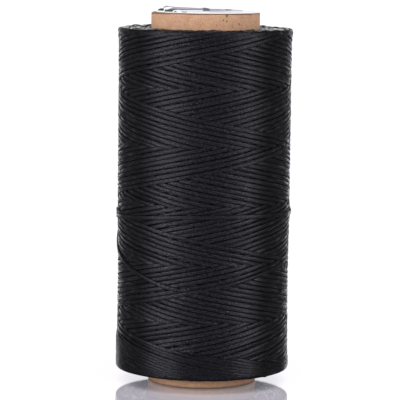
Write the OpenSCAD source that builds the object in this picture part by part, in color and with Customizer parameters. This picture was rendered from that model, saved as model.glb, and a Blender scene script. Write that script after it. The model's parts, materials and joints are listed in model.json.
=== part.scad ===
// Spool of flat waxed thread: a spiral-wound paper tube of five glued plies, a cross-wound
// package of thread around it, and a paper label that closes the tube's top end.
// Origin: centre of the tube's bottom rim. +Z: up along the tube. Millimetres.

/* [Paper tube] */
// Length of the tube
tube_len = 120; // [105:1:160]
// Diameter of the bore
bore_d = 31; // [20:0.5:50]
// Thickness of the smooth liner inside
liner_t = 0.3; // [0.2:0.05:0.6]
// Thickness of each of the three plies of board
board_t = 0.5; // [0.3:0.05:1]
// Thickness of the kraft wrap outside
wrap_t = 0.2; // [0.1:0.05:0.5]

/* [Label] */
// Thickness of the paper label
label_t = 0.2; // [0.1:0.05:0.5]
// Bare rim left around the label
label_inset = 0.2; // [0.1:0.05:1]

/* [Thread package] */
// Depth of thread wound over the tube
wound_depth = 10.5; // [6:0.5:20]
// Bare tube below the package
bare_bottom = 4; // [3:0.5:10]
// Bare tube above the package
bare_top = 5.5; // [3:0.5:10]
// Rounding of the package's two shoulders
shoulder_r = 1; // [0.5:0.25:3]

/* [Thread] */
// Width of the flat thread
thread_w = 1.4; // [1:0.1:1.8]
// Thickness of the flat thread
thread_t = 0.4; // [0.3:0.05:0.6]
// Gap between crossing turns of the outer layer
turn_gap = 0.45; // [0.42:0.01:0.8]
// Pairs of strokes, one up and one down, in the outer layer
stroke_pairs = 4; // [3:1:4]
// Slope of the thread's last stretch, as a multiple of a stroke's slope
tail_steepness = 1.75; // [1.5:0.05:1.75]

/* [Hidden] */
$fn = 128;

// Radii of the tube, from the bore outwards
bore_r = bore_d / 2;
board_r = bore_r + liner_t;
wrap_r = board_r + 3 * board_t;
tube_r = wrap_r + wrap_t;

// The package along the tube
package_z0 = bare_bottom;
package_z1 = tube_len - bare_top;
package_r = tube_r + wound_depth;

// The outer layer's path. It goes round by fixed steps, so crossing turns are parallel facets,
// and at the middle of a facet the turns lie nearer the axis by the factor chord.
ring_step = 15;
chord = cos(ring_step / 2);
level_step = thread_t + turn_gap / chord;
high_r = package_r - thread_t / 2;   // centre of the down strokes
low_r = high_r - level_step;         // centre of the up strokes, under them
seat_gap = 0.02;                     // between the core and the lowest turns' facets
core_r = (low_r - thread_t / 2) * chord - seat_gap;

// One stroke runs from one end of the package to the other in a little under three turns, so
// each pair of strokes starts 360 / stroke_pairs degrees away from the last.
stroke_arc = (3 - 1 / (2 * stroke_pairs)) * 360;
turn_arc = 30;                       // the reversal is rounded, and climbs, over this to each side
lay_angle = atan((package_z1 - package_z0) / (stroke_arc * PI / 180 * high_r));
axial_w = thread_w / cos(lay_angle); // the thread's width measured along the tube
path_z0 = package_z0 + axial_w / 2;
path_z1 = package_z1 - axial_w / 2;
slope = (path_z1 - path_z0) / (stroke_arc - turn_arc);

// The last stretch leaves the last down stroke, runs steeper and hops over one older turn
tail_from = (2 * stroke_pairs - 1) * stroke_arc + 360;
tail_cross = 360 / stroke_pairs / (tail_steepness - 1);
hop_flat = 30;
hop_ramp = 45;
tail_arc = ring_step * floor((tail_cross + hop_flat + hop_ramp + ring_step) / ring_step);

first_angle = turn_arc;
last_angle = tail_from + tail_arc;
rings = (last_angle - first_angle) / ring_step + 1;
loops = (last_angle - first_angle) / 360;

function clamp01(x) = min(1, max(0, x));
function ease(x) = let (c = clamp01(x)) c * c * (3 - 2 * c);

// Arc from a reversal, rounded off near it
function rounded_arc(d) =
    (abs(d) >= turn_arc ? abs(d) : (d * d + turn_arc * turn_arc) / (2 * turn_arc)) - turn_arc / 2;

// Height and radius of the strokes' path at angle a. Reversals with odd numbers are at the top.
function stroke_z(a) =
    let (n = round(a / stroke_arc), run = slope * rounded_arc(a - n * stroke_arc))
    n % 2 == 1 ? path_z1 - run : path_z0 + run;
function stroke_r(a) =
    let (n = round(a / stroke_arc), f = ease((a - n * stroke_arc + turn_arc) / (2 * turn_arc)))
    low_r + level_step * (n % 2 == 1 ? f : 1 - f);

// The last stretch: z falls faster, and the hop lifts it one level where it crosses a turn
function tail_z(a) = stroke_z(tail_from) - slope * tail_steepness * (a - tail_from);
function tail_r(a) =
    let (d = abs(a - tail_from - tail_cross))
    high_r + level_step * ease((hop_flat + hop_ramp - d) / hop_ramp);

function path_z(a) = a > tail_from ? tail_z(a) : stroke_z(a);
function path_r(a) = a > tail_from ? tail_r(a) : stroke_r(a);

// Section of the flat thread as [outwards, along the tube]
section = [for (p = [[1, -0.6], [1, 0.6], [0, 1], [-1, 0.6], [-1, -0.6], [0, -1]])
           [p[0] * thread_t / 2, p[1] * axial_w / 2]];
sides = len(section);

function ring(i) =
    let (a = first_angle + i * ring_step, r = path_r(a), z = path_z(a))
    [for (p = section) [(r + p[0]) * cos(a), (r + p[0]) * sin(a), z + p[1]]];

// Least gap of the layer to itself. Points on the facets' centre line, three to a facet, are
// compared with those at the same angle on every other turn, as boxes of the thread's size.
function centre(i) =
    let (a = first_angle + i * ring_step)
    [path_r(a) * cos(a), path_r(a) * sin(a), path_z(a)];
function on_facet(i, f) =
    let (p = centre(i) * (1 - f) + centre(i + 1) * f)
    [norm([p[0], p[1]]), p[2]];
function box_gap(p, q) =
    norm([max(0, abs(p[0] - q[0]) - thread_t), max(0, abs(p[1] - q[1]) - axial_w)]);
turn_rings = 360 / ring_step;
facet_points = [for (f = [0, 1 / 3, 2 / 3]) [for (i = [0 : rings - 2]) on_facet(i, f)]];
least_gap = min([for (row = facet_points)
                 for (i = [0 : rings - 2 - turn_rings])
                 for (j = [i + turn_rings : turn_rings : rings - 2])
                 box_gap(row[i], row[j])]);
echo(thread_winding_loops = loops, least_gap_mm = least_gap);  // thread_winding

// One paper ply of the tube, from its inner radius outwards
module ply(r, t) {
    difference() {
        cylinder(h = tube_len, r = r + t);
        translate([0, 0, -1]) cylinder(h = tube_len + 2, r = r);
    }
}

module tube_liner() {
    color("#B98F63") ply(bore_r, liner_t);
}

module board_ply(i) {
    color("#A67C52") ply(board_r + (i - 1) * board_t, board_t);
}

module tube_wrap() {
    color("#CFA276") ply(wrap_r, wrap_t);
}

module top_label() {
    color("#EDEBE8") translate([0, 0, tube_len]) cylinder(h = label_t, r = tube_r - label_inset);
}

// The inner layers of thread, as one body with rounded shoulders
module thread_core() {
    color("#232327") rotate_extrude() {
        translate([tube_r, package_z0])
            square([core_r - shoulder_r - tube_r, package_z1 - package_z0]);
        translate([tube_r, package_z0 + shoulder_r])
            square([core_r - tube_r, package_z1 - package_z0 - 2 * shoulder_r]);
        for (z = [package_z0 + shoulder_r, package_z1 - shoulder_r])
            translate([core_r - shoulder_r, z]) circle(r = shoulder_r, $fn = 64);
    }
}

// The outer layer, one unbroken thread: up strokes under, down strokes over, and the last
// stretch that hops over one turn
module thread_winding() {
    side_faces = [for (i = [0 : rings - 2]) for (k = [0 : sides - 1])
        let (a = i * sides + k, b = i * sides + (k + 1) % sides)
        each [[a, b, a + sides], [b, b + sides, a + sides]]];
    first_cap = [for (k = [1 : sides - 2]) [0, k + 1, k]];
    end = (rings - 1) * sides;
    last_cap = [for (k = [1 : sides - 2]) [end, end + k, end + k + 1]];
    color("#38383D") polyhedron(
        points = [for (i = [0 : rings - 1]) each ring(i)],
        faces = concat(side_faces, first_cap, last_cap));
}

tube_liner();
board_ply(1);  // board_ply_1
board_ply(2);  // board_ply_2
board_ply(3);  // board_ply_3
tube_wrap();
top_label();
thread_core();
thread_winding();
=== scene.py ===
import json
import math

import bpy
import numpy as np
from mathutils import Matrix, Vector


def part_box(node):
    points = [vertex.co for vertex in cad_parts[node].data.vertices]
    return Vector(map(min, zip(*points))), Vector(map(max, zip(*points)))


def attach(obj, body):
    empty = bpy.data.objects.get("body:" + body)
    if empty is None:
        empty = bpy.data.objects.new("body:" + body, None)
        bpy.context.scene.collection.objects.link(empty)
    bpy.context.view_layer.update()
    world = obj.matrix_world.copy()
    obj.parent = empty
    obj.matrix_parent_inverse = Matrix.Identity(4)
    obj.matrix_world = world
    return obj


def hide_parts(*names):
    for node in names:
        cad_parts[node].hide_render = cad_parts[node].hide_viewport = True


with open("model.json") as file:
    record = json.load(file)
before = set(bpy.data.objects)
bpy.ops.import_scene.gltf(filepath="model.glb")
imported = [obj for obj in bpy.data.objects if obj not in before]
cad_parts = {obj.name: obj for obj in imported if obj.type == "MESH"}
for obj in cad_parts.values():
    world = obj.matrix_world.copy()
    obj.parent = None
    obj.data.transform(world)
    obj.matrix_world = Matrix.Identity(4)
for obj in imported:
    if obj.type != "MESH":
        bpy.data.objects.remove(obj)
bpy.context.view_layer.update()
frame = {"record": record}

MM = 0.001


def corners(node):
    """Lowest and highest corner of a CAD node, in millimetres."""
    return [np.array(corner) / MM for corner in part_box(node)]


# ---------------------------------------------------------------- sizes, in millimetres

TUBE_R = corners("tube_wrap")[1][0]
TUBE_TOP = corners("tube_wrap")[1][2]
BORE_R = frame["record"]["mounts"][0]["dims"]["r_mm"]
PACKAGE_Z0 = corners("thread_core")[0][2]
PACKAGE_Z1 = corners("thread_core")[1][2]
PACKAGE_R = corners("thread_winding")[1][0]

# The flat thread, and how far one layer of it raises the next
THREAD_W = 1.46
THREAD_T = 0.5
LAYER = 0.33

# The winding. A stroke runs from one end of the package to the other in three turns and half
# a lane, so after PAIRS pairs of strokes the lanes cover the whole surface. Arcs are in degrees.
PAIRS = 24
LANE = 360 / PAIRS
STROKE = 3 * 360 + LANE / 2
CROSSING = LANE / 2                 # arc along a thread from one crossing to the next
TURN = 26                           # arc over which a reversal is rounded, to each side
LAST_TOP = 350.7                    # where round the tube the newest top reversal lies
STEP = 3.75                         # arc from one ring of the thread's mesh to the next
GROUPS = 4                          # pieces that the outer layer is made in

# The package's rims, a little above the CAD package's, and its rounded shoulders
RIM_Z0 = PACKAGE_Z0 + 0.4
RIM_Z1 = PACKAGE_Z1 + 0.5
SHOULDER_R = 1.2
SHOULDER_REACH = math.radians(15)   # how far over the shoulder a reversal climbs

# Where the package's side stands out or is drawn in: middle and spread of each stretch along the
# tube, and how far
BULGES = [(RIM_Z0 + 2.5, 3.5, 0.12), (RIM_Z1, 3.5, 0.3), (34, 16, -0.18)]

# The loose last stretch: where it leaves its lane and settles in an older one, and where it ends,
# as arcs after the newest top reversal, the arc over which it bends away, how far down it comes,
# and how far it is lifted over the others and sinks in at its end, in layers
TAIL_LEAVES = 489
TAIL_SETTLES = 619
TAIL_ENDS = 631
TAIL_BEND = 20
TAIL_DROP = 18.3
TAIL_LIFT = 1.1
TAIL_SINK = 1.5

# The turn laid level round the middle: where it starts, how far round it goes, its height at the
# start and how far it stands out from the others
LEVEL_STARTS = 140
LEVEL_ARC = 435
LEVEL_Z = 54
LEVEL_OUT = 0.38

# The lump beside it at the right: its height, how far it spreads up and down and round the tube,
# and how far it stands out
LUMP_Z = 55.8
LUMP_SPREAD = 2.1
LUMP_ANGLE = 0.42
LUMP_OUT = 0.36

# Reversals piled up over the package's lower rim: how many, the arc over which each is rounded,
# the side of the tube where they reach furthest, and how far they stand out from the others
LOW_TURNS = 36
LOW_TURN = 72
LOW_SIDE = 325
LOW_OUT = 0.26

# Reversal loops at the package's ends: depth of one layer of them, and loops to a layer
LOOP_LAYER = 0.62
LOOPS = 54

# The rim of the tube's top end is rounded off all round, and worn deeper at one side. The wrap's
# seam runs down as a small step.
RIM_WEAR = 0.13
WORN_DEPTH = 0.45
WORN_ANGLE = math.radians(184)
WORN_WIDTH = math.radians(26)
SEAM_ANGLE = math.radians(309.5)
SEAM_STEP = 0.06

# The label, which sits a little to the right. Each curl of its back edge has an angle, a width
# and a height.
LABEL_R = 17.0
LABEL_T = 0.13
LABEL_SHIFT = 0.75
CURLS = [(145, 11, 0.92), (129, 20, 0.7), (106, 12, 0.18), (170, 15, 0.4), (94, 4, 0.3),
         (72, 22, 0.2), (100, 38, 0.25)]

# Dark flecks in the kraft wrap: place along the paper, height and size
FLECKS = [(89.5, 119.45, 0.4), (88.35, 118.05, 0.23), (89.5, 117.6, 0.25), (94.1, 116.75, 0.25),
          (91.5, 115.8, 0.18), (86.2, 116.4, 0.16)]


# ---------------------------------------------------------------- small tools

def ease(x):
    """Smooth step from 0 to 1."""
    x = np.clip(x, 0, 1)
    return x * x * (3 - 2 * x)


def wander(seed, x):
    """Smooth noise between -1 and 1, one random value to each whole x."""
    table = np.random.default_rng(seed).uniform(-1, 1, 4096)
    cell = np.floor(x).astype(int)
    part = ease(x - cell)
    return table[cell % 4096] * (1 - part) + table[(cell + 1) % 4096] * part


def from_angle(angle, middle):
    """Angle from middle, between minus and plus half a turn, in radians."""
    return (angle - middle + math.pi) % (2 * math.pi) - math.pi


def unit(vectors):
    """The vectors at length 1."""
    return vectors / np.linalg.norm(vectors, axis=-1, keepdims=True)


def add_mesh(name, points, faces, smooth=True):
    """A mesh object from points in millimetres."""
    mesh = bpy.data.meshes.new(name)
    mesh.from_pydata((np.asarray(points, dtype=float) * MM).tolist(), [], faces)
    mesh.update()
    mesh.polygons.foreach_set("use_smooth", [smooth] * len(mesh.polygons))
    piece = bpy.data.objects.new(name, mesh)
    bpy.context.scene.collection.objects.link(piece)
    return piece


def set_values(piece, name, values):
    """Stores one number for each point of a piece, for its material."""
    layer = piece.data.attributes.new(name, "FLOAT", "POINT")
    layer.data.foreach_set("value", np.asarray(values, dtype=float).ravel())


def set_uvs(piece, name, of_points):
    """Stores a pair of numbers for each point of a piece, for its material."""
    layer = piece.data.uv_layers.new(name=name)
    at = np.empty(len(piece.data.loops), dtype=np.int32)
    piece.data.loops.foreach_get("vertex_index", at)
    layer.data.foreach_set("uv", np.asarray(of_points, dtype=float)[at].ravel())


def dress(piece, material, slot, *nodes):
    """Gives a piece its material and its place in the frame."""
    piece.data.materials.clear()
    piece.data.materials.append(material)
    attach(piece, "root")
    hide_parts(*nodes)


# ---------------------------------------------------------------- the thread's path

def rounded(d):
    """Arc from a reversal, rounded off near it."""
    d = np.abs(d)
    return np.where(d >= TURN, d, (d * d + TURN * TURN) / (2 * TURN)) - TURN / 2


# Where the straight side ends, how far up and down the thread's path reaches when the shoulders
# are laid out flat, and its slope, in millimetres to a degree
SIDE_Z0 = RIM_Z0 + THREAD_W / 2 + SHOULDER_R * math.sin(SHOULDER_REACH)
SIDE_Z1 = RIM_Z1 - THREAD_W / 2 - SHOULDER_R * math.sin(SHOULDER_REACH)
REACH_Z0 = SIDE_Z0 - SHOULDER_R * SHOULDER_REACH
REACH_Z1 = SIDE_Z1 + SHOULDER_R * SHOULDER_REACH
SLOPE = (REACH_Z1 - REACH_Z0) / (STROKE - TURN)


def over_shoulders(place):
    """Distance inwards, height and tilt of the surface at a place, which is counted along the
    package's side and on over its shoulders."""
    tilt = (np.maximum(place - SIDE_Z1, 0) - np.maximum(SIDE_Z0 - place, 0)) / SHOULDER_R
    inwards = SHOULDER_R * (1 - np.cos(tilt))
    return inwards, np.clip(place, SIDE_Z0, SIDE_Z1) + SHOULDER_R * np.sin(tilt), tilt


def over_or_under(x, first, last):
    """1 where a thread runs over the crossing threads and 0 where it runs under them. It runs
    under crossings first to last of every PAIRS, and x counts crossings along it."""
    middle = (first + last) / 2
    past = np.abs((x - middle + PAIRS / 2) % PAIRS - PAIRS / 2) - (last - first) / 2
    return ease(past)


def tail_drop(arc):
    """How far the loose end lies below its lane: steep at first, then easing into an older lane."""
    since = np.clip(arc - TAIL_LEAVES + TAIL_BEND / 2, 0, None)
    since = np.where(since < TAIL_BEND, since * since / (2 * TAIL_BEND), since - TAIL_BEND / 2)
    part = np.clip(since / (TAIL_SETTLES - TAIL_LEAVES), 0, 1)
    return TAIL_DROP * (1 - (1 - part) ** 1.9)


def stroke_path(stroke, arc):
    """Place along the side and level of the thread at arc, counted from the newest top reversal.
    Strokes are counted back from the newest: even ones run down, odd ones up. Level 1 is over the
    crossing threads, and level 0 under them."""
    pair = stroke // 2
    up = stroke % 2 == 1
    from_top = np.abs(arc + 2 * STROKE * pair)
    place = np.where(from_top > STROKE / 2, REACH_Z0 + SLOPE * rounded(STROKE - from_top),
                     REACH_Z1 - SLOPE * rounded(from_top))
    if up:
        # Past the tail's bend the newest lane is empty, so one crossing less lies over this one
        first = PAIRS - pair + np.where(from_top > TAIL_LEAVES + TAIL_BEND, 1, 0)
        level = over_or_under(from_top / CROSSING, first, PAIRS)
        level = np.where(first > PAIRS, 1, level)
    elif pair:
        level = over_or_under(from_top / CROSSING, 1, pair)
    else:
        place = place - tail_drop(arc)
        lifted = ease((arc - TAIL_LEAVES + 30) / 30)
        sunk = ease((arc - TAIL_ENDS + 14) / 12)
        level = 1 + TAIL_LIFT * lifted - TAIL_SINK * sunk
    return place, level


def thread_run(angle, r, z, roll, width, thick, tone, start=0.0):
    """Thread through points at an angle, a radius and a height each. Roll turns its flat face up
    from facing outwards, and start is the length along the thread at the first point."""
    flat = np.cos(roll)
    return {
        "centre": np.stack([r * np.cos(angle), r * np.sin(angle), z], axis=1),
        "outwards": np.stack([flat * np.cos(angle), flat * np.sin(angle), np.sin(roll)], axis=1),
        "width": width * np.ones_like(angle),
        "thick": thick * np.ones_like(angle),
        "tone": tone * np.ones_like(angle),
        "start": start,
    }


def lump(angle, z):
    """How far the side bulges at the right, where the level turn lies."""
    away = from_angle(angle, 0)
    return LUMP_OUT * np.exp(-(away / LUMP_ANGLE) ** 2 - ((z - LUMP_Z) / LUMP_SPREAD) ** 2)


def outer_strokes(first, last):
    """The run of thread through strokes first down to last, counted back from the newest."""
    begin = -STROKE * first
    end = STROKE * (1 - last) if last else TAIL_ENDS
    # Steps of equal arc, and the very end
    arc = np.append(np.arange(begin, end, STEP), end)
    place = np.empty_like(arc)
    level = np.empty_like(arc)
    stroke_at = np.clip(np.floor(-arc / STROKE).astype(int) + 1, last, first)
    for stroke in range(last, first + 1):
        here = stroke_at == stroke
        place[here], level[here] = stroke_path(stroke, arc[here])
    # The thread wanders off its lane, less at the reversals, where it lies drawn in
    from_end = (arc / STROKE + 0.5) % 1 - 0.5
    at_end = np.exp(-(from_end / 0.03) ** 2)
    sway = 0.13 * wander(11, arc / 41) + 0.07 * wander(12, arc / 173)
    place = place + (1 - 0.75 * at_end) * sway
    place = place - 0.05 * np.sign(place - TUBE_TOP / 2) * at_end * np.abs(wander(17, arc / 90))
    # Its distance from the axis, with the package's bulges
    inwards, z, tilt = over_shoulders(place)
    bulge = sum(out * np.exp(-((z - middle) / spread) ** 2) for middle, spread, out in BULGES)
    r = PACKAGE_R - THREAD_T / 2 - LAYER * (1 - level) - inwards + bulge
    r = r + 0.05 * wander(13, arc / 19) - 0.05
    angle = np.radians(LAST_TOP + arc)
    r = r + lump(angle, z)
    # It rolls, and is pressed wider and thinner in places
    roll = tilt + 0.14 * wander(14, arc / 57) + 0.14 * wander(18, arc / 17)
    swell = wander(15, arc / 33)
    width = THREAD_W * (1 + 0.05 * swell)
    thick = THREAD_T * (1 - 0.08 * swell)
    return thread_run(angle, r, z, roll, width, thick, 0.5 + 0.5 * wander(16, arc / 240))


# ---------------------------------------------------------------- thread pieces

# Section of the flat thread: across it, and outwards
SECTION = np.array([(1, 0), (0.95, 0.55), (0.76, 0.87), (0, 1), (-0.76, 0.87), (-0.95, 0.55),
                    (-1, 0), (-0.95, -0.55), (-0.76, -0.87), (0, -1), (0.76, -0.87), (0.95, -0.55)])
OUTER_FACE = 3 / len(SECTION)       # the middle of its outer face, as a share of the way round


def thread_mesh(name, runs):
    """One mesh of flat thread along each run. A run holds, point by point, the place of its
    centre, the way its flat face looks, its width, its thickness and its tone."""
    sides = len(SECTION)
    points, quads, caps, uvs, tones = [], [], [], [], []
    base = 0
    for run in runs:
        centre = run["centre"]
        count = len(centre)
        forward = unit(np.gradient(centre, axis=0))
        across = unit(np.cross(run["outwards"], forward))
        outwards = np.cross(forward, across)
        side = run["width"][:, None] / 2 * SECTION[:, 0]
        out = run["thick"][:, None] / 2 * SECTION[:, 1]
        ring = centre[:, None] + across[:, None] * side[..., None] + outwards[:, None] * out[..., None]
        points.append(ring.reshape(-1, 3))
        tones.append(np.repeat(run["tone"], sides))
        along = run["start"] + np.r_[0, np.cumsum(np.linalg.norm(np.diff(centre, axis=0), axis=1))]
        i, k = np.meshgrid(np.arange(count - 1), np.arange(sides), indexing="ij")
        a = base + i * sides + k
        b = base + i * sides + (k + 1) % sides
        quads.append(np.stack([a, b, b + sides, a + sides], axis=-1).reshape(-1, 4))
        low, high = k / sides, (k + 1) / sides
        uv = [(along[i], low), (along[i], high), (along[i + 1], high), (along[i + 1], low)]
        uvs.append(np.stack([np.stack(pair, axis=-1) for pair in uv], axis=2).reshape(-1, 2))
        last = base + (count - 1) * sides
        caps.append([base + corner for corner in reversed(range(sides))])
        caps.append([last + corner for corner in range(sides)])
        base += count * sides
    piece = add_mesh(name, np.concatenate(points), np.concatenate(quads).tolist() + caps)
    uvs = np.concatenate(uvs + [np.full((sides * len(caps), 2), 0.5)])
    layer = piece.data.uv_layers.new(name="along_thread")
    layer.data.foreach_set("uv", uvs.ravel())
    set_values(piece, "tone", np.concatenate(tones))
    return piece


def outer_layer():
    """The outer layer in groups of strokes, from the oldest to the newest."""
    size = 2 * PAIRS // GROUPS
    for group in range(GROUPS):
        last = 2 * PAIRS - size * (group + 1)
        yield thread_mesh(f"thread_turns_{group + 1}", [outer_strokes(last + size - 1, last)])


def low_turns():
    """Reversals piled up over the lower rim, which comes out a little there. Each runs down over
    the others, along the rim, and up again under them."""
    rng = np.random.default_rng(33)
    runs = []
    for k in range(LOW_TURNS):
        turn = 360 * (k + rng.uniform(-0.09, 0.09)) / LOW_TURNS
        reach = 25 + 60 * math.cos(math.radians(turn - LOW_SIDE)) + rng.uniform(-8, 8)
        begin = -LOW_TURN - max(-20, reach)
        end = LOW_TURN * 0.8
        arc = np.arange(begin, end, STEP)
        along = np.where(np.abs(arc) < LOW_TURN, arc ** 2 / (2 * LOW_TURN),
                         np.abs(arc) - LOW_TURN / 2)
        place = REACH_Z0 + SLOPE * along + 0.06 * wander(50 + k, arc / 31)
        inwards, z, tilt = over_shoulders(place)
        level = 0.5 - 0.5 * np.tanh(arc / 25)
        sunk = ease((begin + 30 - arc) / 30) + ease((arc - end + 20) / 20)
        r = PACKAGE_R - THREAD_T / 2 + LOW_OUT - LAYER * (1 - level) - 0.7 * sunk - inwards
        runs.append(thread_run(np.radians(turn + arc), r, z, tilt + 0.14 * wander(80 + k, arc / 43),
                               1.18, 0.8 * THREAD_T, rng.uniform(0, 0.5), rng.uniform(0, 400)))
    return thread_mesh("thread_low_turns", runs)


def level_turn():
    """A turn laid nearly level over all the others. It starts and ends at the left, where it lies
    beside itself, and both ends sink in."""
    arc = np.arange(0, LEVEL_ARC + STEP, STEP)
    at = LEVEL_STARTS + arc
    # It climbs in front, drops at the right and behind, and climbs again before its end
    climb = 2.7 * ease((at - 170) / 105) - 0.8 * ease((at - 290) / 75) - 0.5 * ease((at - 400) / 110)
    climb = climb + 0.6 * ease((at - 520) / 55)
    z = LEVEL_Z + climb + 0.06 * wander(21, arc / 29)
    sunk = ease((25 - arc) / 25) + ease((arc - LEVEL_ARC + 25) / 25)
    r = PACKAGE_R + LEVEL_OUT - THREAD_T / 2 - 0.75 * sunk + 0.04 * wander(22, arc / 17)
    r = r + 0.4 * lump(np.radians(at), z)
    return thread_mesh("thread_level_turn", [
        thread_run(np.radians(at), r, z, 0.1 * wander(23, arc / 37), THREAD_W, THREAD_T, 0.5)])


def end_loops(name, up):
    """Reversal loops of the inner layers, which fill one end of the package. Each loop comes up
    from inside, runs along the rim of its layer and goes down outside the one before."""
    rng = np.random.default_rng(35 if up else 32)
    rim = RIM_Z1 if up else RIM_Z0
    sign = 1 if up else -1
    part = np.linspace(-1, 1, 9)
    runs = []
    for r0 in np.arange(TUBE_R + 0.75, PACKAGE_R - 0.6, LOOP_LAYER):
        start = rng.uniform(0, 360)
        for k in range(LOOPS):
            half = rng.uniform(9, 17)
            dip = (0.5 + SLOPE * half * rng.uniform(0.3, 1)) * part ** 2
            lean = rng.uniform(-0.2, 1.5) * (1 - 0.5 * part ** 2) + 0.3 * wander(k, part * 2 + 5)
            r = r0 + part * rng.uniform(0.2, 1.1) * LOOP_LAYER + rng.uniform(-0.15, 0.15)
            middle = start + 360 * (k + rng.uniform(-0.35, 0.35)) / LOOPS
            angle = np.radians(middle + part * half)
            in_front = max(0, -math.sin(math.radians(middle))) ** 0.5
            dip = dip + rng.uniform(-0.38 * (1 - in_front) if up else 0, 0.6 - 0.5 * in_front)
            z = rim - sign * (THREAD_W / 2 * np.cos(lean) + dip)
            runs.append(thread_run(angle, r, z, sign * lean, THREAD_W * rng.uniform(0.4, 0.8),
                                   0.6 * THREAD_T, rng.uniform(0, 1), rng.uniform(0, 400)))
    return thread_mesh(name, runs)


def ring_faces(segments, count):
    """Faces of a closed ring whose points are listed profile by profile."""
    faces = []
    for i in range(segments):
        j = (i + 1) % segments
        for k in range(count):
            m = (k + 1) % count
            faces.append((i * count + k, i * count + m, j * count + m, j * count + k))
    return faces


def thread_body():
    """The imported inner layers, a dark drum just under the outer layer, with rounded corners of
    1 mm."""
    r_out = PACKAGE_R - THREAD_T - LAYER - 0.25
    z0, z1 = RIM_Z0 + 1.3, RIM_Z1 - 1.3
    corner = [(r_out - 1 + math.sin(a), z1 - 1 + math.cos(a))
              for a in np.radians(np.linspace(0, 90, 6))]
    lower = [(r, z0 + z1 - z) for r, z in reversed(corner)]
    profile = [(TUBE_R + 0.02, z1)] + corner + lower + [(TUBE_R + 0.02, z0)]
    segments = 144
    points = [(r * math.cos(a), r * math.sin(a), z)
              for a in np.linspace(0, 2 * math.pi, segments, endpoint=False) for r, z in profile]
    return add_mesh("thread_body", points, ring_faces(segments, len(profile)))


# ---------------------------------------------------------------- paper tube

def worn_depth(angle):
    """How deep the tube's top rim is rounded off at an angle."""
    deeper = WORN_DEPTH * math.exp(-(from_angle(angle, WORN_ANGLE) / WORN_WIDTH) ** 2)
    return RIM_WEAR + deeper + 0.03 * math.sin(7 * angle + 1) + 0.02 * math.sin(17 * angle)


def rim_height(r, angle):
    """Height of the tube's top rim, rounded off towards its outer edge."""
    worn = worn_depth(angle)
    depth = min(1, max(0, r - (TUBE_R - worn)) / worn)
    return TUBE_TOP - worn * (1 - math.sqrt(1 - depth * depth))


def paper_ply(name, node, inner, seed):
    """One ply of the tube: the CAD ply's radii, a worn top rim, cut ends that are not quite even, and,
    on the outermost ply, a seam where the paper laps over, which is a small step that runs down it."""
    outer = corners(node)[1][0]
    steps = 5 if outer - inner > 0.25 else 3
    # The profile as radii and depths below the top rim: up the bore, over the rim and down outside.
    # Its last two points lie past the foot, and are brought up to it.
    inside = [(inner, d) for d in (TUBE_TOP - 0.8, TUBE_TOP - 2, 60, 2, 0.5)]
    over = [(inner + (outer - inner) * k / steps, 0.0) for k in range(steps + 1)]
    near_top = [(outer, d) for d in (0.15, 0.3, 0.5, 0.8, 1.2, 2, 4, 6.5)]
    near_foot = [(outer, TUBE_TOP - up) for up in (60, 6, 2, 0.8, 0.4, 0.2, -1)]
    profile = inside + over + near_top + near_foot + [(inner, TUBE_TOP + 1)]
    segments = 288
    points, edge, past_seam, uvs = [], [], [], []
    for i in range(segments):
        angle = 2 * math.pi * i / segments
        ragged = 0.05 * float(wander(seed, np.array(i / 9.0))) - 0.05
        foot = 0.05 + 0.05 * float(wander(seed + 1, np.array(i / 7.0)))
        since = (angle - SEAM_ANGLE) % (2 * math.pi)
        lap = -SEAM_STEP * math.exp(-since / 0.04) if outer == TUBE_R else 0.0
        for r, d in profile:
            z = max(rim_height(r, angle) + ragged - d, foot)
            step = lap if r > inner + 0.01 else 0.0
            points.append(((r + step) * math.cos(angle), (r + step) * math.sin(angle), z))
            # Darkness at the top rim and the foot: the cut edges, and partly a painted shadow line
            # under the label and where the foot meets the floor
            edge.append(math.exp(-d / 0.17) + 1.5 * math.exp(-(z - foot) / 0.5))
            # How much darker the paper is, for a stretch past the seam
            past_seam.append(math.exp(-since / 0.9))
            uvs.append((r * angle, z))
    piece = add_mesh(name, points, ring_faces(segments, len(profile)))
    set_values(piece, "edge", edge)
    set_values(piece, "past_seam", past_seam)
    set_uvs(piece, "along_paper", uvs)
    return piece


def paper_tube(wrap, board, liner):
    """All plies of the tube, from the bore outwards."""
    inner = BORE_R
    plies = [("tube_liner", "paper_liner", liner, "kraft_liner")]
    plies += [(f"board_ply_{i}", f"paper_board_{i}", board, "tube_board") for i in (1, 2, 3)]
    plies += [("tube_wrap", "paper_wrap", wrap, "kraft_wrap")]
    for seed, (node, name, material, slot) in enumerate(plies):
        dress(paper_ply(name, node, inner, 40 + 2 * seed), material, slot, node)
        inner = corners(node)[1][0]


# ---------------------------------------------------------------- label

def label_lift(angle, out):
    """How far the label's edge curls up, at an angle and a share of its radius."""
    edge = sum(height * math.exp(-(from_angle(angle, math.radians(middle)) / math.radians(width)) ** 2)
               for middle, width, height in CURLS)
    return edge * max(0, (out - 0.6) / 0.4) ** 1.6


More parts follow.
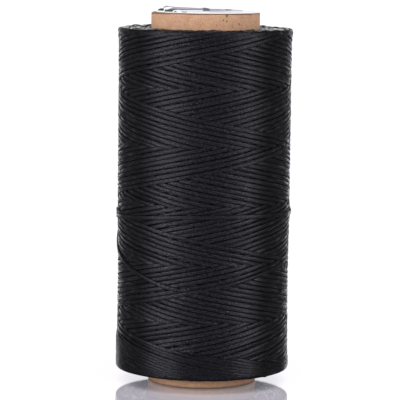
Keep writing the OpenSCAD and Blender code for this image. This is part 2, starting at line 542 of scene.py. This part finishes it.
def top_label():
    """The paper disc on the tube's top end, with its back edge curling up."""
    rings, spokes = 30, 216
    base = TUBE_TOP + 0.07
    points, printed, uvs = [], [], []
    for top in (0, 1):
        for i in range(rings + 1):
            for j in range(spokes):
                angle = 2 * math.pi * j / spokes
                out = i / rings
                r = LABEL_R * out * (1 + 0.003 * math.sin(3 * angle + 1) + 0.002 * math.sin(11 * angle))
                dip = 0.12 * (1 - out ** 2)
                x, y = r * math.cos(angle), r * math.sin(angle)
                z = base + top * LABEL_T + label_lift(angle, out) - dip
                points.append((x + LABEL_SHIFT, y, z))
                printed.append(top)
                uvs.append((x, y))

    def at(top, i, j):
        """Number of the point on a face, a ring and a spoke."""
        return (top * (rings + 1) + i) * spokes + j % spokes

    faces = []
    for j in range(spokes):
        for i in range(rings):
            faces.append((at(1, i, j), at(1, i + 1, j), at(1, i + 1, j + 1), at(1, i, j + 1)))
            faces.append((at(0, i, j), at(0, i, j + 1), at(0, i + 1, j + 1), at(0, i + 1, j)))
        faces.append((at(0, rings, j), at(0, rings, j + 1), at(1, rings, j + 1), at(1, rings, j)))
    piece = add_mesh("label", points, faces)
    set_values(piece, "printed", printed)
    set_uvs(piece, "label_place", uvs)
    return piece


# ---------------------------------------------------------------- materials

class Shader:
    """A material's node tree, with short calls to add and join nodes."""

    def __init__(self, name):
        self.material = bpy.data.materials.new(name)
        self.material.use_nodes = True
        self.tree = self.material.node_tree
        self.bsdf = self.tree.nodes["Principled BSDF"]

    def node(self, kind, inputs=None, **settings):
        """A new node with its settings, and its inputs fed with values or other nodes' outputs."""
        node = self.tree.nodes.new(kind)
        for key, value in settings.items():
            setattr(node, key, value)
        for key, value in (inputs or {}).items():
            self.feed(node.inputs[key], value)
        return node

    def feed(self, socket, value):
        if isinstance(value, bpy.types.NodeSocket):
            self.tree.links.new(value, socket)
        else:
            socket.default_value = value

    def surface(self, **inputs):
        """Feeds the surface shader. An underscore in a name stands for a space."""
        for key, value in inputs.items():
            self.feed(self.bsdf.inputs[key.replace("_", " ")], value)

    def uv(self, name):
        return self.node("ShaderNodeUVMap", uv_map=name).outputs[0]

    def value(self, name):
        """A number that set_values stored on the piece."""
        return self.node("ShaderNodeAttribute", attribute_name=name).outputs["Fac"]

    def parts(self, vector):
        """The X and Y of a vector."""
        outputs = self.node("ShaderNodeSeparateXYZ", {0: vector}).outputs
        return outputs[0], outputs[1]

    def noise(self, vector, scale, detail=2.0, roughness=0.5):
        return self.node("ShaderNodeTexNoise", {"Vector": vector, "Scale": scale, "Detail": detail,
                                                "Roughness": roughness}).outputs["Fac"]

    def stretch(self, vector, scale):
        return self.node("ShaderNodeVectorMath", {0: vector, 1: scale},
                         operation="MULTIPLY").outputs[0]

    def ramp(self, factor, *stops):
        """A colour that goes through stops, each a position and a colour."""
        node = self.node("ShaderNodeValToRGB", {"Fac": factor})
        ramp = node.color_ramp
        while len(ramp.elements) < len(stops):
            ramp.elements.new(0.5)
        for element, (position, colour) in zip(ramp.elements, stops):
            element.position = position
            element.color = (*colour, 1)
        return node.outputs["Color"]

    def curve(self, factor, *stops):
        """A number that goes through stops, each a position and a value."""
        return self.ramp(factor, *((position, (value, value, value)) for position, value in stops))

    def range(self, value, low, high, to_low, to_high):
        """A value between low and high mapped to one between to_low and to_high, and clamped."""
        return self.node("ShaderNodeMapRange", {"Value": value, "From Min": low, "From Max": high,
                                                "To Min": to_low, "To Max": to_high}).outputs[0]

    def math(self, operation, a, b=0.5):
        return self.node("ShaderNodeMath", {0: a, 1: b}, operation=operation).outputs[0]

    def add(self, a, b):
        return self.math("ADD", a, b)

    def times(self, a, b):
        return self.math("MULTIPLY", a, b)

    def mix(self, factor, a, b, blend="MIX"):
        node = self.node("ShaderNodeMix", {"Factor": factor}, data_type="RGBA", blend_type=blend)
        self.feed(node.inputs[6], a)
        self.feed(node.inputs[7], b)
        return node.outputs[2]

    def bump(self, height, strength, distance):
        return self.node("ShaderNodeBump", {"Height": height, "Strength": strength,
                                            "Distance": distance}).outputs["Normal"]


def thread_material(name, rough_at_rim, relief, wax_level, streaked=0.5):
    """Flat waxed thread: charcoal, with filaments laid slightly across it and wax lying unevenly.
    The wax shines where it is seen along the surface, more so the lower rough_at_rim is, and
    streaked is how far that shine breaks up into streaks."""
    s = Shader(name)
    uv = s.uv("along_thread")
    along, around = s.parts(uv)
    slant = s.add(s.times(around, 26.0), s.times(along, 1.3))
    lay = s.node("ShaderNodeCombineXYZ", {"X": s.times(along, 0.5), "Y": slant}).outputs[0]
    filaments = s.noise(lay, 1.0, 3, 0.6)
    grain = s.noise(s.stretch(uv, (2.1, 12, 1)), 1.0, 2, 0.5)
    strands = s.noise(s.stretch(uv, (0.35, 8, 1)), 1.0, 2, 0.6)
    wax = s.noise(s.stretch(uv, (0.12, 1.0, 1)), 1.0, 3, 0.6)
    facing = s.node("ShaderNodeLayerWeight", {"Blend": 0.5}).outputs["Facing"]
    off_face = s.math("ABSOLUTE", s.math("SUBTRACT", around, OUTER_FACE))
    # The thread's sides: rougher, and darker in colour and shine as a painted shade in the gaps between
    # turns
    side = s.range(off_face, 0.08, 0.12, 0, 1)

    # Charcoal by the grain, lighter on turns of a light tone, and darker and bluer at the thread's
    # sides, a painted shade in the gaps between turns
    colour = s.ramp(grain, (0.36, (0.001, 0.0009, 0.0013)), (0.5, (0.0026, 0.0024, 0.0034)),
                    (0.64, (0.007, 0.0066, 0.0082)))
    colour = s.mix(s.range(s.value("tone"), 0, 1, 0.0, 0.2), colour, (0.01, 0.0095, 0.0115, 1))
    colour = s.mix(side, colour, (0.0012, 0.0011, 0.0019, 1))

    # The wax's highlight is strong where it is seen straight on or along the surface
    shine = s.ramp(grain, (0.38, (0.17, 0.163, 0.2)), (0.5, (0.4, 0.39, 0.45)),
                   (0.62, (0.72, 0.7, 0.78)))
    # Painted shade: less shine at the thread's sides, in the gaps between turns
    shine = s.mix(side, shine, (0.06, 0.055, 0.09, 1))
    by_facing = s.curve(facing, (0.16, 1), (0.34, 0.3), (0.64, 0.3), (0.86, 1))
    shine = s.mix(1.0, shine, by_facing, "MULTIPLY")

    # Rough in between, rougher in streaks at the rim and at the thread's sides, smoother in glints
    rough = s.curve(facing, (0, 0.3), (0.18, 0.34), (0.34, 0.92), (0.64, 0.92), (0.86, rough_at_rim))
    rough = s.add(rough, s.range(wax, 0.35, 0.65, 0.06, -0.08))
    at_rim = s.range(facing, 0.7, 0.9, 0, 1)
    rough = s.add(rough, s.times(at_rim, s.range(strands, 0.56, 0.43, 0, 1.3 * streaked)))
    rough = s.add(rough, s.times(side, streaked))
    glint = s.times(s.range(strands, 0.52, 0.66, 0, 1), s.range(facing, 0.25, 0.4, 0, 0.35))
    rough = s.math("SUBTRACT", rough, glint)

    # Filaments, grain and strands stand out, the strands most at the rim
    height = s.add(s.times(filaments, 0.5), s.times(grain, 0.75))
    height = s.add(height, s.times(strands, s.range(facing, 0.5, 0.8, 0.2, 1.4)))
    s.surface(
        Base_Color=colour,
        Roughness=rough,
        Normal=s.bump(height, relief, 0.0002),
        Specular_IOR_Level=wax_level,
        Specular_Tint=shine,
    )
    return s.material


def depth_material():
    """Older thread deep between the turns."""
    s = Shader("thread_depth")
    place = s.node("ShaderNodeTexCoord").outputs["Object"]
    strands = s.noise(s.stretch(place, (60, 60, 900)), 1.0, 3)
    s.surface(
        Base_Color=s.ramp(strands, (0.3, (0.001, 0.001, 0.0015)), (0.7, (0.0035, 0.0033, 0.005))),
        Roughness=s.range(strands, 0.3, 0.7, 0.9, 0.65),
        Normal=s.bump(strands, 0.6, 0.0003),
        Specular_IOR_Level=0.03,
    )
    return s.material


def fleck_mask(s, uv, flecks):
    """Where the dark flecks are: faint ones scattered all over, and the given ones."""
    cells = s.node("ShaderNodeTexVoronoi", {"Vector": uv, "Scale": 0.62})
    shade = s.node("ShaderNodeSeparateColor", {0: cells.outputs["Color"]}).outputs[0]
    size = s.range(shade, 0.5, 1.0, 0.0, 0.14)
    mask = s.range(s.math("SUBTRACT", size, cells.outputs["Distance"]), -0.06, 0.08, 0.0, 0.5)
    for along, height, radius in flecks:
        away = s.node("ShaderNodeVectorMath", {0: uv, 1: (along, height, 0)}, operation="DISTANCE")
        spot = s.range(away.outputs["Value"], 0.5 * radius, 1.6 * radius, 0.95, 0)
        mask = s.math("MAXIMUM", mask, spot)
    return mask


def painted_light_and_shade_below(s, uv, colour):
    """Painted shade and light on the paper: darker upwards from the foot to where the package covers
    it, a painted shade under the package, and lighter at the foot in front, a painted light. Above the
    package it stays as it is."""
    along, height = s.parts(uv)
    from_front = s.math("ABSOLUTE", s.math("SUBTRACT", along, 1.5 * math.pi * TUBE_R))
    # Painted light: the foot lighter in front
    foot = s.times(s.range(height, 2, 3.5, 1, 0), s.range(from_front, 10, 20, 1, 0))
    colour = s.mix(foot, colour, (1.2, 1.18, 1.15, 1), "MULTIPLY")
    # Painted shade: darker from just above the foot up to where the package covers it
    climb = s.add(height, s.times(from_front, 0.06))
    painted_shade = s.times(s.range(climb, 0.5, 3.5, 0, 1), s.range(height, 60, 90, 1, 0))
    return s.mix(painted_shade, colour, (0.45, 0.42, 0.4, 1), "MULTIPLY")


def kraft_material(name, light, dark, cut, flecks=()):
    """Kraft paper: fibres laid along it, mottling, dark flecks, darker cut edges that are partly a
    painted shadow line, and painted shade and light near the foot. Each of flecks is a place along the
    paper, a height and a size."""
    s = Shader(name)
    uv = s.uv("along_paper")
    mottle = s.noise(uv, 0.45, 4, 0.6)
    fibres = s.noise(s.stretch(uv, (0.9, 5, 1)), 1.0, 4, 0.7)
    crossed = s.noise(s.stretch(uv, (4, 1.2, 1)), 1.0, 3, 0.6)
    blend = s.add(s.times(mottle, 0.45), s.times(fibres, 0.35))
    blend = s.add(blend, s.times(crossed, 0.2))
    colour = s.ramp(blend, (0.39, dark), (0.61, light))

    # Small speckles, and patches that are yellower or redder
    speckle = s.noise(s.stretch(uv, (2.2, 2.8, 1)), 1.0, 2, 0.8)
    colour = s.mix(s.range(speckle, 0.58, 0.38, 0, 0.95), colour, (0.68, 0.65, 0.62, 1), "MULTIPLY")
    hue = s.noise(s.stretch(uv, (0.25, 0.9, 1)), 1.0, 2, 0.5)
    hue = s.ramp(hue, (0.36, (1, 0.97, 0.84)), (0.64, (1, 0.93, 0.98)))
    colour = s.mix(1.0, colour, hue, "MULTIPLY")

    # Darker for a stretch past the seam, painted shade and light at the lower end, flecks, and darker
    # cut edges that are partly a painted shadow line
    colour = s.mix(s.times(s.value("past_seam"), 0.25), colour, (0.78, 0.81, 0.8, 1), "MULTIPLY")
    colour = painted_light_and_shade_below(s, uv, colour)
    colour = s.mix(fleck_mask(s, uv, flecks), colour, (0.1, 0.05, 0.03, 1))
    # Cut edges darkened, partly a painted shadow line under the label and at the foot
    worn = s.range(s.add(s.value("edge"), s.times(fibres, 0.5)), 0.5, 1.1, 0, 0.9)
    colour = s.mix(worn, colour, (*cut, 1))
    s.surface(
        Base_Color=colour,
        Roughness=s.range(fibres, 0.25, 0.75, 0.9, 0.62),
        Normal=s.bump(blend, 0.5, 0.00012),
        Specular_IOR_Level=0.3,
    )
    return s.material


def label_material():
    """White coated paper with a generic print of a pale panel, rules, arcs and bars, and grey along the
    back, where the edge curls up. Places are in millimetres from the label's middle, to the right and
    to the back."""
    s = Shader("label_paper")
    uv = s.uv("label_place")
    across, back = s.parts(uv)
    radius = s.node("ShaderNodeVectorMath", {0: uv}, operation="LENGTH").outputs["Value"]

    def past(value, low):
        return s.math("GREATER_THAN", value, low)

    def between(value, low, high):
        return s.times(past(value, low), s.math("LESS_THAN", value, high))

    def box(x0, x1, y0, y1):
        return s.times(between(across, x0, x1), between(back, y0, y1))

    def joined(masks):
        total = masks[0]
        for mask in masks[1:]:
            total = s.math("MAXIMUM", total, mask)
        return total

    def printed(colour, mask, ink):
        return s.mix(s.times(mask, s.value("printed")), colour, (*ink, 1))

    fade = s.range(across, 3, 12, 1, 0)
    panel = joined([box(0.4, 12, -5.5, 8), s.times(box(-9, 0.4, -1.5, 9), 0.6)])
    # Grey along the back, where the edge curls up: a band near the rim and a patch behind the panel
    at_back = s.times(past(back, 5), between(across, -14.6, 11.2))
    ring = joined([between(radius, 16.2, 17.2), s.times(past(radius, 14.9), past(across, -11.8))])
    grey_at_back = joined([s.times(ring, at_back), s.times(box(0.4, 12, 8, 17), fade)])
    rules = joined([box(0.5, 11, y, y + 0.35) for y in (-4, 0, 4)])
    arcs = joined([between(radius, 12.6, 14.6), between(radius, 16.6, 17.2)])
    outline = joined([s.times(arcs, box(-14, -1.8, 5, 17)), box(-1.8, 0.4, 7, 17),
                      box(5.6, 7.6, 12, 17)])
    bars = joined([box(-16.2, -14.4, -0.5, 7), box(-14.0, -11.4, -5, 6), box(-10.9, -10.1, -9, 2),
                   box(-8.3, -6.8, -10, -2)])

    grain = s.noise(uv, 1.6, 3, 0.6)
    colour = s.ramp(grain, (0.3, (0.86, 0.86, 0.87)), (0.7, (0.9, 0.9, 0.91)))
    colour = printed(colour, s.times(panel, fade), (0.6, 0.59, 0.68))
    colour = printed(colour, grey_at_back, (0.36, 0.35, 0.4))
    colour = printed(colour, rules, (0.3, 0.3, 0.33))
    colour = printed(colour, outline, (0.1, 0.1, 0.13))
    colour = printed(colour, bars, (0.015, 0.015, 0.018))
    s.surface(
        Base_Color=colour,
        Roughness=s.range(grain, 0.3, 0.7, 0.75, 0.6),
        Normal=s.bump(grain, 0.15, 0.00006),
        Specular_IOR_Level=0.12,
    )
    return s.material


# ---------------------------------------------------------------- studio

# The camera's place in metres, and how far it looks down, aside and round, and its field of view,
# in degrees
CAMERA_PLACE = (0.00698, -0.72914, 0.14357)
CAMERA_DOWN = 6.614
CAMERA_ASIDE = -0.64
CAMERA_ROLL = 0.645
CAMERA_VIEW = 10.134

# The world's light on things, how much the table top mirrors, how much it glows where the camera
# or a reflection sees it, and how far it reaches to each side, in millimetres
WORLD_LIGHT = 0.36
FLOOR_GLOSS = 0.83
FLOOR_GLOW = 0.26
FLOOR_REACH = 8000


def look(thing, target, roll=0.0):
    """Turns a lamp or camera to a target, with a roll in degrees."""
    away = Vector(target) - thing.location
    turn = away.to_track_quat("-Z", "Y").to_matrix().to_4x4()
    turn = turn @ Matrix.Rotation(math.radians(roll), 4, "Z")
    thing.matrix_world = Matrix.Translation(thing.location) @ turn


def add_camera():
    data = bpy.data.cameras.new("camera")
    data.sensor_fit = "HORIZONTAL"
    data.angle = math.radians(CAMERA_VIEW)
    data.clip_end = 100
    camera = bpy.data.objects.new("camera", data)
    bpy.context.scene.collection.objects.link(camera)
    camera.location = CAMERA_PLACE
    down, aside = math.radians(CAMERA_DOWN), math.radians(CAMERA_ASIDE)
    level = math.cos(down)
    ahead = Vector((math.sin(aside) * level, math.cos(aside) * level, -math.sin(down)))
    look(camera, camera.location + ahead, roll=CAMERA_ROLL)
    bpy.context.scene.camera = camera


def add_lamp(name, azimuth, elevation, distance, size, power):
    """A soft rectangular lamp that looks at the middle of the spool. Azimuth 0 is at the camera's
    side, positive to its right."""
    data = bpy.data.lights.new(name, "AREA")
    data.shape = "RECTANGLE"
    data.size, data.size_y = size
    data.energy = power
    lamp = bpy.data.objects.new(name, data)
    bpy.context.scene.collection.objects.link(lamp)
    a, e = math.radians(azimuth), math.radians(elevation)
    middle = Vector((0, 0, TUBE_TOP / 2 * MM))
    away = Vector((math.sin(a) * math.cos(e), -math.cos(a) * math.cos(e), math.sin(e)))
    lamp.location = middle + distance * away
    lamp.visible_camera = False
    look(lamp, middle)


def seen_white(tree, otherwise, seen):
    """A strength for rays that the camera, a reflection or glass sends, and another for the rest."""
    rays = tree.nodes.new("ShaderNodeLightPath").outputs
    is_seen = rays["Is Camera Ray"]
    for other in ("Is Glossy Ray", "Is Transmission Ray"):
        either = tree.nodes.new("ShaderNodeMath")
        either.operation = "MAXIMUM"
        tree.links.new(is_seen, either.inputs[0])
        tree.links.new(rays[other], either.inputs[1])
        is_seen = either.outputs[0]
    strength = tree.nodes.new("ShaderNodeMapRange")
    strength.inputs["To Min"].default_value = otherwise
    strength.inputs["To Max"].default_value = seen
    tree.links.new(is_seen, strength.inputs["Value"])
    return strength.outputs[0]


def add_world():
    """White where the camera or a reflection sees it, and a softer light on everything else."""
    world = bpy.data.worlds.new("studio")
    bpy.context.scene.world = world
    world.use_nodes = True
    tree = world.node_tree
    background = tree.nodes["Background"]
    background.inputs["Color"].default_value = (1, 1, 1, 1)
    tree.links.new(seen_white(tree, WORLD_LIGHT, 1), background.inputs["Strength"])


def add_floor():
    """White glossy table top, more like a mirror at a low angle, with a painted shade close to the
    spool, where ambient occlusion darkens its colour and glow.
    """
    s = Shader("white_table")
    facing = s.node("ShaderNodeLayerWeight", {"Blend": 0.5}).outputs["Facing"]
    open_air = s.node("ShaderNodeAmbientOcclusion", {"Distance": 0.012}, samples=8).outputs["AO"]
    open_air = s.range(open_air, 0.05, 0.5, 0, 1)
    # Painted shade: the table's colour darkens where the spool is close by
    plain = s.mix(open_air, (0.2, 0.225, 0.24, 1), (0.51, 0.49, 0.54, 1))
    white = s.node("ShaderNodeBsdfDiffuse", {"Color": plain}).outputs[0]
    gloss = s.node("ShaderNodeBsdfGlossy", {"Color": (0.98, 0.98, 1, 1), "Roughness": 0.065})
    both = s.node("ShaderNodeMixShader", {0: s.times(facing, FLOOR_GLOSS), 1: white,
                                          2: gloss.outputs[0]}).outputs[0]
    # Painted shade in the glow as well, close to the spool
    pale = s.mix(open_air, (0.3, 0.32, 0.355, 1), (0.92, 0.87, 1, 1))
    glow = s.node("ShaderNodeEmission", {"Color": pale,
                                         "Strength": seen_white(s.tree, 0, FLOOR_GLOW)})
    whole = s.node("ShaderNodeAddShader", {0: both, 1: glow.outputs[0]}).outputs[0]
    s.tree.links.new(whole, s.tree.nodes["Material Output"].inputs["Surface"])
    far = FLOOR_REACH
    floor = add_mesh("floor", [(-far, -far, 0), (far, -far, 0), (far, far, 0), (-far, far, 0)],
                     [(0, 1, 2, 3)], smooth=False)
    floor.data.materials.append(s.material)


# ---------------------------------------------------------------- build

add_camera()
add_world()
add_floor()
add_lamp("left_softbox", -50, 10, 0.9, (0.62, 0.3), 5.8)
add_lamp("right_softbox", 62, 10, 0.9, (0.5, 0.3), 3.65)
add_lamp("top_light", 10, 75, 1.0, (0.7, 0.7), 6.0)

waxed = thread_material("waxed_thread", rough_at_rim=0.1, relief=0.8, wax_level=0.3)
smoother = thread_material("waxed_thread_low", rough_at_rim=0.15, relief=0.3, wax_level=0.2)
wound_ends = thread_material("waxed_thread_ends", rough_at_rim=0.02, relief=0.1, wax_level=0.68,
                             streaked=0.0)
for turns in outer_layer():
    dress(turns, waxed, "outer_thread", "thread_winding")
dress(level_turn(), waxed, "outer_thread", "thread_winding")
dress(low_turns(), smoother, "outer_thread", "thread_winding")
dress(end_loops("top_end_loops", True), wound_ends, "inner_thread", "thread_core")
dress(end_loops("bottom_end_loops", False), wound_ends, "inner_thread", "thread_core")
dress(thread_body(), depth_material(), "inner_thread", "thread_core")
dress(top_label(), label_material(), "label_paper", "top_label")
paper_tube(
    wrap=kraft_material("kraft_wrap", (0.65, 0.418, 0.29), (0.5, 0.297, 0.181), (0.13, 0.065, 0.04),
                        FLECKS),
    board=kraft_material("tube_board", (0.4, 0.26, 0.16), (0.3, 0.19, 0.11), (0.24, 0.15, 0.09)),
    liner=kraft_material("kraft_liner", (0.56, 0.37, 0.22), (0.42, 0.27, 0.16), (0.26, 0.16, 0.1)),
)

bpy.context.scene.view_settings.view_transform = "Standard"
